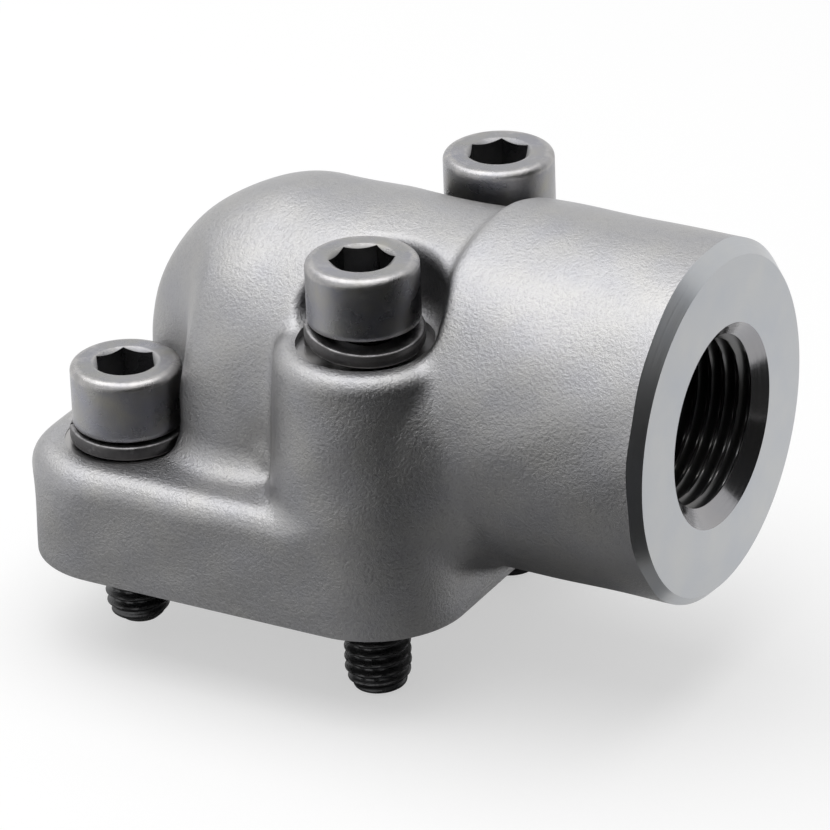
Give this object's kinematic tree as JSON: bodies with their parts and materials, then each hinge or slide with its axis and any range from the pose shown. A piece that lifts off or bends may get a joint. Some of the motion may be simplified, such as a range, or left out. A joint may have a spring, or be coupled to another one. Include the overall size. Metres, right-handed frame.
{
  "type": "pipe flange",
  "caption": "Cast right-angle port flange: square foot with a face seal, threaded outlet, and cap screws standing loose in it on spring washers.",
  "frame": {"origin": "centre of the bolt square, on the mounting face", "axes": "+Z out of the mounting face towards the dome, +X along the outlet, away from the flange"},
  "size_m": [0.0618, 0.0424, 0.0425],
  "materials": {
    "cast_alloy": "satin, as cast, with turned and spot-faced machined areas",
    "black_steel": "black oxide, slightly oily",
    "spring_steel": "black phosphate",
    "seal_rubber": "matt nitrile rubber"
  },
  "bodies": {
    "flange": {"elbow_body": "cast_alloy", "face_seal_ring": "seal_rubber"},
    "washer_long_front": {"spring_washer_long_front": "spring_steel"},
    "washer_long_back": {"spring_washer_long_back": "spring_steel"},
    "washer_short_front": {"spring_washer_short_front": "spring_steel"},
    "washer_short_back": {"spring_washer_short_back": "spring_steel"},
    "screw_long_front": {"cap_screw_long_front": "black_steel"},
    "screw_long_back": {"cap_screw_long_back": "black_steel"},
    "screw_short_front": {"cap_screw_short_front": "black_steel"},
    "screw_short_back": {"cap_screw_short_back": "black_steel"}
  },
  "joints": [
    {"name": "lift_long_front", "type": "slide", "parent": "flange", "child": "washer_long_front", "axis": [0, 0, 1], "range_m": [0, 0.034]},
    {"name": "lift_long_back", "type": "slide", "parent": "flange", "child": "washer_long_back", "axis": [0, 0, 1], "range_m": [0, 0.034]},
    {"name": "lift_short_front", "type": "slide", "parent": "flange", "child": "washer_short_front", "axis": [0, 0, 1], "range_m": [0, 0.018]},
    {"name": "lift_short_back", "type": "slide", "parent": "flange", "child": "washer_short_back", "axis": [0, 0, 1], "range_m": [0, 0.018]},
    {"name": "turn_long_front", "type": "hinge", "parent": "washer_long_front", "child": "screw_long_front", "pos_m": [0.01237, -0.01237, 0.027], "axis": [0, 0, 1], "continuous": true},
    {"name": "turn_long_back", "type": "hinge", "parent": "washer_long_back", "child": "screw_long_back", "pos_m": [0.01237, 0.01237, 0.027], "axis": [0, 0, 1], "continuous": true},
    {"name": "turn_short_front", "type": "hinge", "parent": "washer_short_front", "child": "screw_short_front", "pos_m": [-0.01237, -0.01237, 0.01205], "axis": [0, 0, 1], "continuous": true},
    {"name": "turn_short_back", "type": "hinge", "parent": "washer_short_back", "child": "screw_short_back", "pos_m": [-0.01237, 0.01237, 0.01205], "axis": [0, 0, 1], "continuous": true}
  ]
}
